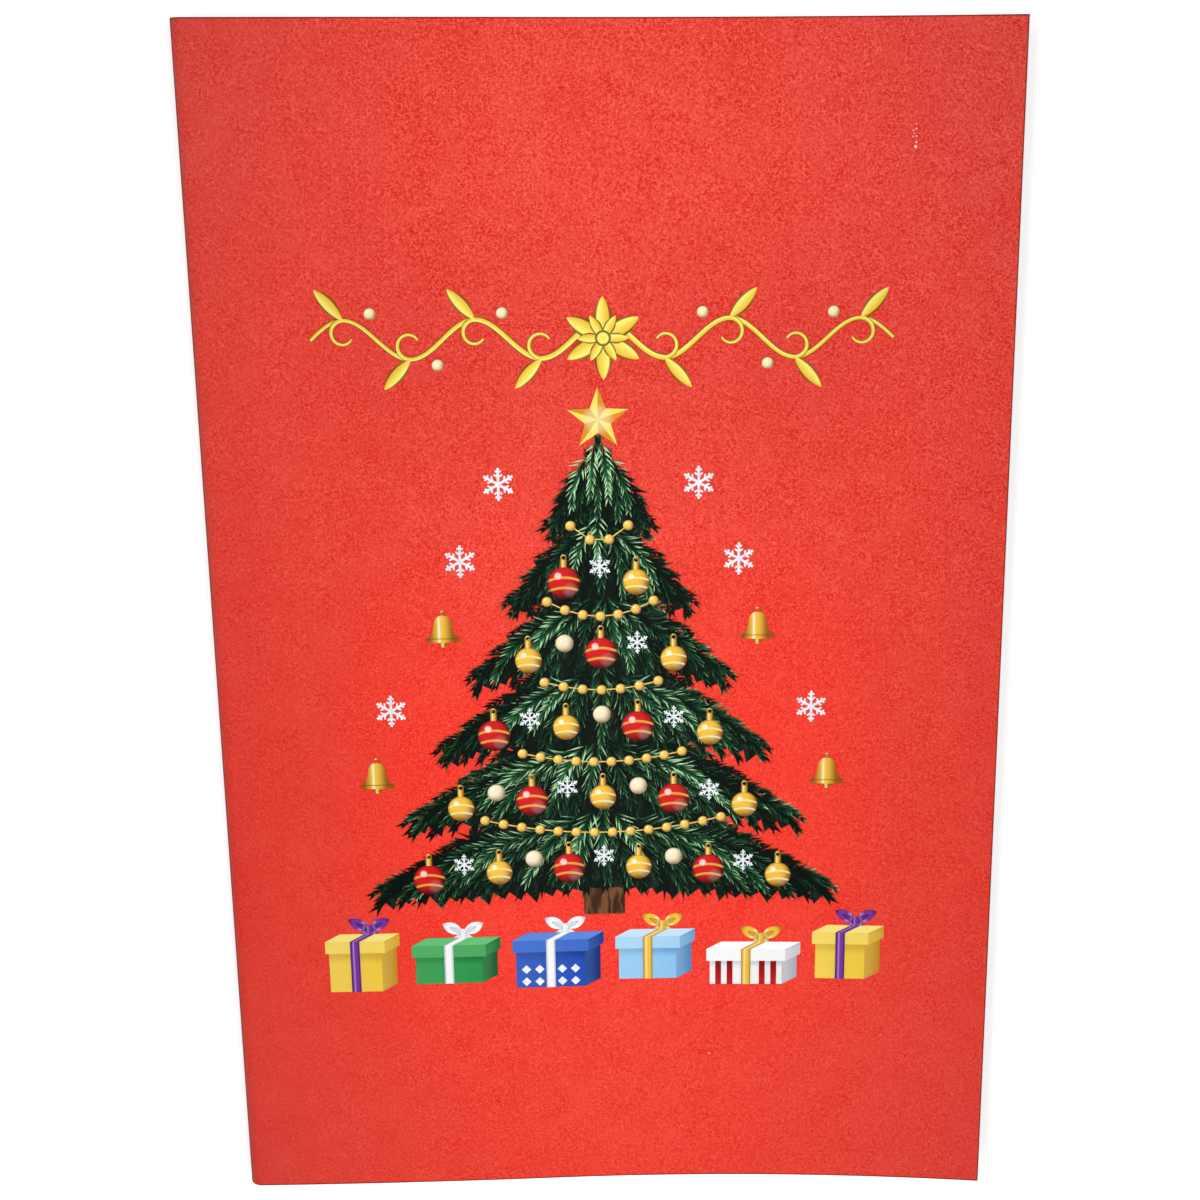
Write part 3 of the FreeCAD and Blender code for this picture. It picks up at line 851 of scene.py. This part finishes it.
star_low, star_high = spots("print_star")[0]
star_radius = (star_high.x - star_low.x) / 2 / math.cos(side_tip_turn)
star_ink = ink_finish("star_gold_ink", roughness=0.34)
u, v = star_ink.flat()
facet = v.maths("ARCTAN2", v, u) / (math.pi / star_points)
other_facet = facet.maths("FLOORED_MODULO", facet + 20.5, 2).step(0.99, 1.01)
gold = star_ink.mix(other_facet, paint(222, 146, 36), paint(255, 224, 104))
star_ink.colour(star_ink.mix((u * u + v * v).step(0.3, 0.0) * 0.5, gold, paint(255, 246, 190)))
star = fresh_print()
star_middle = Vector(((star_low.x + star_high.x) / 2, star_high.y - star_radius))
stamp(star, star_shape(), at(star_middle, 0, star_radius, star_radius, 0, star_level))
printed("tree_star", star, star_ink, "ink_gold", "print_star")


# Gold bells hang beside the tree, two on each side, in shaded gold ink.
# Each is half an outline mirrored, with a round clapper below it and a loop on top.
bell_profile = ((0.0, 0.98), (0.2, 0.96), (0.4, 0.82), (0.5, 0.6), (0.56, 0.2), (0.66, -0.12),
                (0.86, -0.36), (1.0, -0.46), (1.0, -0.62), (0.0, -0.68))
clapper_drop = 0.72
clapper_radius = 0.24
loop_rise = 1.08
loop_radius = 0.2
behind_bell = 0.8


def bell_shape():
    bm = bmesh.new()
    verts = [bm.verts.new((x, y, 0)) for x, y in bell_profile]
    for pair in zip(verts, verts[1:]):
        bm.edges.new(pair)
    bmesh.ops.mirror(bm, geom=bm.verts[:] + bm.edges[:], axis="X", merge_dist=0.001)
    bmesh.ops.remove_doubles(bm, verts=bm.verts, dist=0.001)
    bmesh.ops.edgeloop_fill(bm, edges=bm.edges[:])
    return kept_shape("bell", bm)


bell = bell_shape()
bell_ink = ink_finish("bell_gold_ink", roughness=0.34)
u, v = bell_ink.flat()
gold = bell_ink.mix(abs(u + 0.12).step(0.75, 0.05), paint(150, 92, 20), paint(244, 192, 70))
gold = bell_ink.mix(abs(u + 0.22).step(0.14, 0.0) * 0.85, gold, paint(255, 248, 206))
lip = abs(v + 0.43).step(0.05, 0.02) * 0.6
bell_ink.colour(bell_ink.mix(lip, gold, paint(120, 70, 16)))
bells = fresh_print()
for low, high in spots("print_bells"):
    half = (high.x - low.x) / 2
    spot = Vector(((low.x + high.x) / 2, high.y - half))
    for shape, rise, radius in ((bead, -clapper_drop, clapper_radius * half),
                                (hoop, loop_rise, loop_radius * half)):
        stamp(bells, shape, at(spot + Vector((0, rise * half)), 0, radius, radius, 0, behind_bell))
    stamp(bells, bell, at(spot, 0, half, half, 0, 1))
printed("gold_bells", bells, bell_ink, "ink_gold", "print_bells")


# The gifts stand in a row below the tree, each drawn as a box seen from its right and above.
# Ribbons run up the fronts and over the lids, and end in bows.
side_run = 0.0026
side_rise = 0.0014
lid_height = 0.0022
lid_overhang = 0.0006
ribbon_width = 0.0016
bow_loop = 0.0040
leaf_sides = 24
wall_level = 0.8
over_box = (1, 2)
run = Vector((side_run, side_rise))
across = Vector((1, 0))
upward = Vector((0, 1))


def leaf_shape():
    """A shape pointed at both ends, as a leaf, a petal or a ribbon's loop is."""
    bm = bmesh.new()
    bmesh.ops.create_circle(bm, cap_ends=True, segments=leaf_sides, radius=1)
    for vert in bm.verts:
        vert.co.y *= abs(vert.co.y)
    return kept_shape("leaf", bm)


leaf = leaf_shape()


def between(corner, side, up, low, high):
    """Stretches the unit square between a corner and the two edges that leave it."""
    middle = corner + (side + up) / 2
    return Matrix(((side.x / 2, up.x / 2, 0, middle.x), (side.y / 2, up.y / 2, 0, middle.y),
                   (0, 0, (high - low) * ink_level, low * ink_level), (0, 0, 0, 1)))


def box_finish(name, shade, body, light):
    """Wrapping paper, shaded by a face's tone, from 0 in shade over 0.5 to 1 in full light.

    Below the lid, whose front has a tone over 0.6, the box is darker near the lid's rim.
    """
    finish = ink_finish(name)
    u, v = finish.flat()
    tone = finish.tone()
    paper = finish.mix(tone.step(0.0, 0.5), shade, body)
    paper = finish.mix(tone.step(0.5, 1.0), paper, light)
    lid_shade = v.step(0.35, 0.95) * tone.step(0.6, 0.55)
    paper = finish.mix(lid_shade * 0.6, paper, shade)
    finish.colour(finish.mix(u.step(1.4, -0.9) * 0.25, paper, light))
    return finish


def ribbon_finish(name, shade, body, light):
    """Satin ribbon, darker along its edges, with a shine on its left; tone is a fold's shade."""
    finish = ink_finish(name, roughness=0.34)
    u, _ = finish.flat()
    tone = finish.tone()
    satin = finish.mix(abs(u).step(1.15, 0.4), shade, body)
    satin = finish.mix(abs(u + 0.3).step(0.32, 0.0) * 0.7, satin, light)
    finish.colour(finish.mix(tone * 0.65, satin, shade))
    return finish


# Each wrapping paper's shade, body and light.
papers = {
    "yellow": (paint(196, 138, 30), paint(246, 204, 66), paint(255, 232, 130)),
    "green": (paint(16, 80, 40), paint(42, 146, 74), paint(104, 194, 120)),
    "blue": (paint(16, 40, 106), paint(34, 76, 178), paint(92, 136, 222)),
    "sky": (paint(70, 130, 184), paint(138, 194, 236), paint(196, 228, 250)),
    "white": (paint(170, 170, 180), paint(242, 242, 240), paint(255, 255, 255)),
}
# Each ribbon's slot, the boxes that it ties, and its shade, body and light.
ribbons = {
    "gold": ("ink_gold", ("sky", "white"), paint(160, 104, 24), paint(240, 190, 66),
             paint(255, 244, 180)),
    "white": ("ink_white", ("green", "blue"), paint(168, 176, 190), paint(246, 246, 246),
              paint(255, 255, 255)),
    "purple": ("ink_purple", ("yellow",), paint(60, 22, 86), paint(122, 58, 158),
               paint(196, 148, 222)),
}


def fronts(colour):
    """Left foot corner, width and height of the front of each box of one colour."""
    found = []
    for low, high in spots("print_gift_" + colour):
        width = high.x - low.x - 2 * lid_overhang - side_run
        found.append((Vector((low.x + lid_overhang, low.y)), width, high.y - side_rise - low.y))
    return found


# The light on each face of a box, as its tone.
wall_side_tone = 0.0
wall_front_tone = 0.5
lid_side_tone = 0.2
lid_front_tone = 0.72
lid_top_tone = 1.0

for colour, shades in papers.items():
    bm = fresh_print()
    for corner, width, height in fronts(colour):
        rim = corner + upward * (height - lid_height)
        lid = rim - across * lid_overhang
        lid_width = width + 2 * lid_overhang
        wall = rim - corner
        lid_wall = upward * lid_height
        lid_front = across * lid_width
        for place, side, up, level, tone in (
                (corner, across * width, wall, wall_level, wall_front_tone),
                (corner + across * width, run, wall, wall_level, wall_side_tone),
                (lid, lid_front, lid_wall, 1, lid_front_tone),
                (lid + lid_front, run, lid_wall, 1, lid_side_tone),
                (lid + lid_wall, lid_front, run, 1, lid_top_tone)):
            stamp(bm, pane, between(place, side, up, 0, level), tone)
    printed(colour + "_gift", bm, box_finish(colour + "_wrap_ink", *shades), "ink_" + colour,
            "print_gift_" + colour)


# Half a bow: a loop, the dark inside of the loop and a tail. Each has a lean in degrees, a length
# and a width as shares of the loop's length, a tone and a level.
bow_parts = ((62, 1.0, 0.5, 0.0, 1.0), (62, 0.66, 0.24, 0.75, 1.1), (128, 0.7, 0.2, 0.35, 0.9))
knot_width = 0.34
knot_height = 0.42
knot_level = 1.3


def bow(bm, knot):
    """Two loops, two tails and a knot."""
    for side in (-1, 1):
        for lean, length, width, tone, level in bow_parts:
            turn = math.pi / 2 - side * math.radians(lean)
            half = bow_loop * length / 2
            stamp(bm, leaf, at(knot + towards(turn) * half, turn, half, bow_loop * width / 2,
                               0, level), tone)
    stamp(bm, disc, at(knot, 0, bow_loop * knot_width / 2, bow_loop * knot_height / 2,
                       0, knot_level), 0.2)


for colour, (slot, boxes, *shades) in ribbons.items():
    satin = ribbon_finish(colour + "_ribbon_ink", *shades)
    bands = fresh_print()
    bows = fresh_print()
    for box_colour in boxes:
        for corner, width, height in fronts(box_colour):
            near = corner + across * (width - ribbon_width) / 2
            top = near + upward * height
            for place, up in ((near, upward * height), (top, run)):
                stamp(bands, pane, between(place, across * ribbon_width, up, *over_box))
            bow(bows, top + run + (across + upward) * ribbon_width / 2)
    printed(colour + "_ribbons", bands, satin, slot, "print_ribbons_" + colour)
    printed(colour + "_bows", bows, satin, slot, "print_bows_" + colour)

lozenge = disc_shape("lozenge", 4)
lozenges = fresh_print()
for low, high in spots("print_gift_lozenges"):
    half = (high - low) / 2
    stamp(lozenges, lozenge, at((low + high) / 2, 0, half.x, half.y, *over_box))
printed("gift_lozenges", lozenges, snow, "ink_white", "print_gift_lozenges")

stripe_ink = ink_finish("stripe_red_ink")
_, v = stripe_ink.flat()
stripe_ink.colour(stripe_ink.mix(v.step(-1, 1), paint(190, 30, 36), paint(140, 14, 22)))
stripes = fresh_print()
for low, high in spots("print_gift_stripes"):
    width, height = high - low
    stamp(stripes, pane, between(low, across * width, upward * height, *over_box))
printed("gift_stripes", stripes, stripe_ink, "ink_deep_red", "print_gift_stripes")


# The gold scroll fills the upper third: two waving stems leave a flower with two rings of petals.
# Each wave carries a leaf, a curled tendril and a berry. It is gold ink with dark edges, and the
# berries are cream.
scroll_middle = 0.0506
scroll_half_length = 0.046
scroll_waves = 4
scroll_swing = 0.0031
scroll_band = 0.0011
scroll_taper = 0.4
scroll_leaf = 0.0064
scroll_leaf_width = 0.0022
scroll_leaf_lean = math.radians(48)
leaf_level = 1.1
curl_radius = 0.00217
curl_sweep = math.radians(235)
curl_winding = 0.3
curl_half_band = 0.38 * scroll_band
curl_taper = 0.45
curl_level = 1.05
flower_radius = 0.0066
petal_width = 0.0028
petals = 6
stem_start = 0.7 * flower_radius
stem_tuck = 0.02
wave_length = (scroll_half_length - stem_start) / scroll_waves

# The flower's two rings of petals: size and level of ink.
petal_rings = ((1.0, 1.2), (0.62, 1.35))
boss_sides = 24
boss_radius = 1.15 * scroll_band
boss_level = 1.5

strip_cuts = 56
strip = pane_shape("strip", strip_cuts)


def strip_along(bm, path, half_band, high):
    """Lays a strip of ink along a path, with a half width that changes along it."""
    for vert in stamp(bm, strip, at((0, 0), 0, 1, 1, 0, high)):
        share = (vert.co.x + 1) / 2
        here = path(share)
        ahead = (path(share + 0.001) - here).normalized()
        vert.co.xy = here + Vector((-ahead.y, ahead.x)) * vert.co.y * half_band(share)


def boss_shape():
    bm = bmesh.new()
    bmesh.ops.create_circle(bm, cap_ends=True, segments=boss_sides, radius=1)
    bmesh.ops.poke(bm, faces=bm.faces[:])
    return kept_shape("boss", bm, round_shading=True)


def stem_point(side, share):
    """A point of the stem on one side, from the flower (0) to the stem's end (1)."""
    wave = scroll_waves * share
    return Vector((side * (stem_start + wave_length * wave),
                   scroll_middle - scroll_swing * math.sin(math.pi * wave)))


def curl_point(side, sign, eye, share):
    """A point of a tendril that leaves the crest of a wave and winds in round its eye."""
    turn = sign * math.pi / 2 - side * sign * curl_sweep * share
    return eye + towards(turn) * curl_radius * (1 - curl_winding * share)


scroll = fresh_print()
for side in (-1, 1):
    strip_along(scroll, lambda share: stem_point(side, share - stem_tuck * (1 - share)),
                lambda share: scroll_band / 2 * (1 - scroll_taper * share), 1)
    for wave in range(scroll_waves):
        sign = 1 if wave % 2 else -1
        crest = stem_point(side, (wave + 0.5) / scroll_waves)
        turn = (0 if side > 0 else math.pi) + side * sign * scroll_leaf_lean
        stamp(scroll, leaf, at(crest + towards(turn) * scroll_leaf / 2, turn, scroll_leaf / 2,
                               scroll_leaf_width / 2, 0, leaf_level), 1.0)
        eye = crest - Vector((0, sign * curl_radius))
        strip_along(scroll, lambda share: curl_point(side, sign, eye, share),
                    lambda share: curl_half_band * (1 - curl_taper * share), curl_level)
for ring, (share, level) in enumerate(petal_rings):
    for petal in range(petals):
        turn = 2 * math.pi * (petal + 0.5 + 0.5 * ring) / petals
        half = flower_radius * share / 2
        spot = Vector((0, scroll_middle)) + towards(turn) * half
        stamp(scroll, leaf, at(spot, turn, half, petal_width * share / 2, 0, level), 1.0)
stamp(scroll, boss_shape(), at((0, scroll_middle), 0, boss_radius, boss_radius, 0, boss_level))

scroll_ink = ink_finish("scroll_gold_ink", roughness=0.36)
u, v = scroll_ink.flat()
tone = scroll_ink.tone()
room = 1 - tone * u * u
edge = (abs(v) - 0.62 * room).step(0.0, 0.22)
relief = (v / (room + 0.05)).step(-0.9, 0.8)
gold = scroll_ink.mix(relief, paint(240, 190, 50), paint(255, 244, 120))
scroll_ink.colour(scroll_ink.mix(edge * 0.9, gold, paint(96, 58, 20)))
printed("gold_scroll", scroll, scroll_ink, "ink_scroll_gold", "print_scroll")
baubles("scroll_berries", "print_scroll_berries", "ink_cream",
        ball_finish("berry_cream_ink", paint(176, 128, 60), paint(255, 240, 190),
                    paint(255, 255, 248)))


# The floor is a plain pale table that the card lies on. The camera sees it pale near the card,
# with the card's shadow, and white farther off. One strip lamp and two soft fills light the card,
# the left one a little stronger.
floor_reach = 3.0
floor_drop = 0.00002
floor_grey = 0.62
floor_glow = 0.74
white_start = 0.16
white_full = 0.42
lamp_place = (0.001, -0.008, 0.115)
lamp_width = 0.05
lamp_length = 0.36
lamp_power = 0.208
fill_reach = 0.36
fill_height = 0.14
fill_size = 0.2
fill_power = 0.22
left_fill_share = 1.3
sky_strength = 0.2

floor_mesh = bmesh.new()
bmesh.ops.create_grid(floor_mesh, x_segments=1, y_segments=1, size=floor_reach)
bmesh.ops.translate(floor_mesh, verts=floor_mesh.verts, vec=(0, 0, -floor_drop))
mesh = bpy.data.meshes.new("floor")
floor_mesh.to_mesh(mesh)
floor_mesh.free()
table = Finish("pale_table", 0.9)
table.colour((floor_grey, floor_grey, floor_grey, 1))
looked_at = table.node("LightPath", {}, {}, "Is Camera Ray")
for ray in ("Is Glossy Ray", "Is Transmission Ray"):
    looked_at = looked_at.larger(table.node("LightPath", {}, {}, ray))
x, y, _ = table.place()
far = (x * x + y * y).step(white_start**2, white_full**2)
white = table.node("Emission", {}, {"Color": (1, 1, 1, 1), "Strength": 1.0})
share = looked_at * (floor_glow + (1 - floor_glow) * far)
shown = table.node("MixShader", {}, {0: share, 2: white})
both = table.node("AddShader", {}, {0: shown})
table.tree.links.new(table.shader.outputs[0], both.socket.node.inputs[1])
table.tree.links.new(both.socket, table.tree.nodes["Material Output"].inputs["Surface"])
mesh.materials.append(table.material)
floor = bpy.data.objects.new("floor", mesh)
bpy.context.scene.collection.objects.link(floor)

lamp = bpy.data.lights.new("strip_lamp", "AREA")
lamp.shape = "RECTANGLE"
lamp.size = lamp_width
lamp.size_y = lamp_length
lamp.energy = lamp_power
strip_lamp = bpy.data.objects.new("strip_lamp", lamp)
strip_lamp.location = lamp_place
strip_lamp.visible_camera = False
bpy.context.scene.collection.objects.link(strip_lamp)

for side in (-1, 1):
    lamp = bpy.data.lights.new("side_fill", "AREA")
    lamp.size = fill_size
    lamp.energy = fill_power * (left_fill_share if side < 0 else 1)
    side_fill = bpy.data.objects.new("side_fill", lamp)
    side_fill.location = (side * fill_reach, 0, fill_height)
    side_fill.rotation_euler = (0, side * math.atan2(fill_reach, fill_height), 0)
    side_fill.visible_camera = False
    bpy.context.scene.collection.objects.link(side_fill)

world = bpy.data.worlds.new("studio")
world.use_nodes = True
sky = world.node_tree.nodes["Background"]
sky.inputs["Strength"].default_value = sky_strength
backdrop = world.node_tree.nodes.new("ShaderNodeBackground")
either = world.node_tree.nodes.new("ShaderNodeMixShader")
seen = world.node_tree.nodes.new("ShaderNodeLightPath")
for light in (sky, backdrop):
    light.inputs["Color"].default_value = (1, 1, 1, 1)
world.node_tree.links.new(seen.outputs["Is Camera Ray"], either.inputs[0])
world.node_tree.links.new(sky.outputs[0], either.inputs[1])
world.node_tree.links.new(backdrop.outputs[0], either.inputs[2])
world.node_tree.links.new(either.outputs[0],
                          world.node_tree.nodes["World Output"].inputs["Surface"])
bpy.context.scene.world = world

bpy.context.scene.view_settings.view_transform = "Standard"
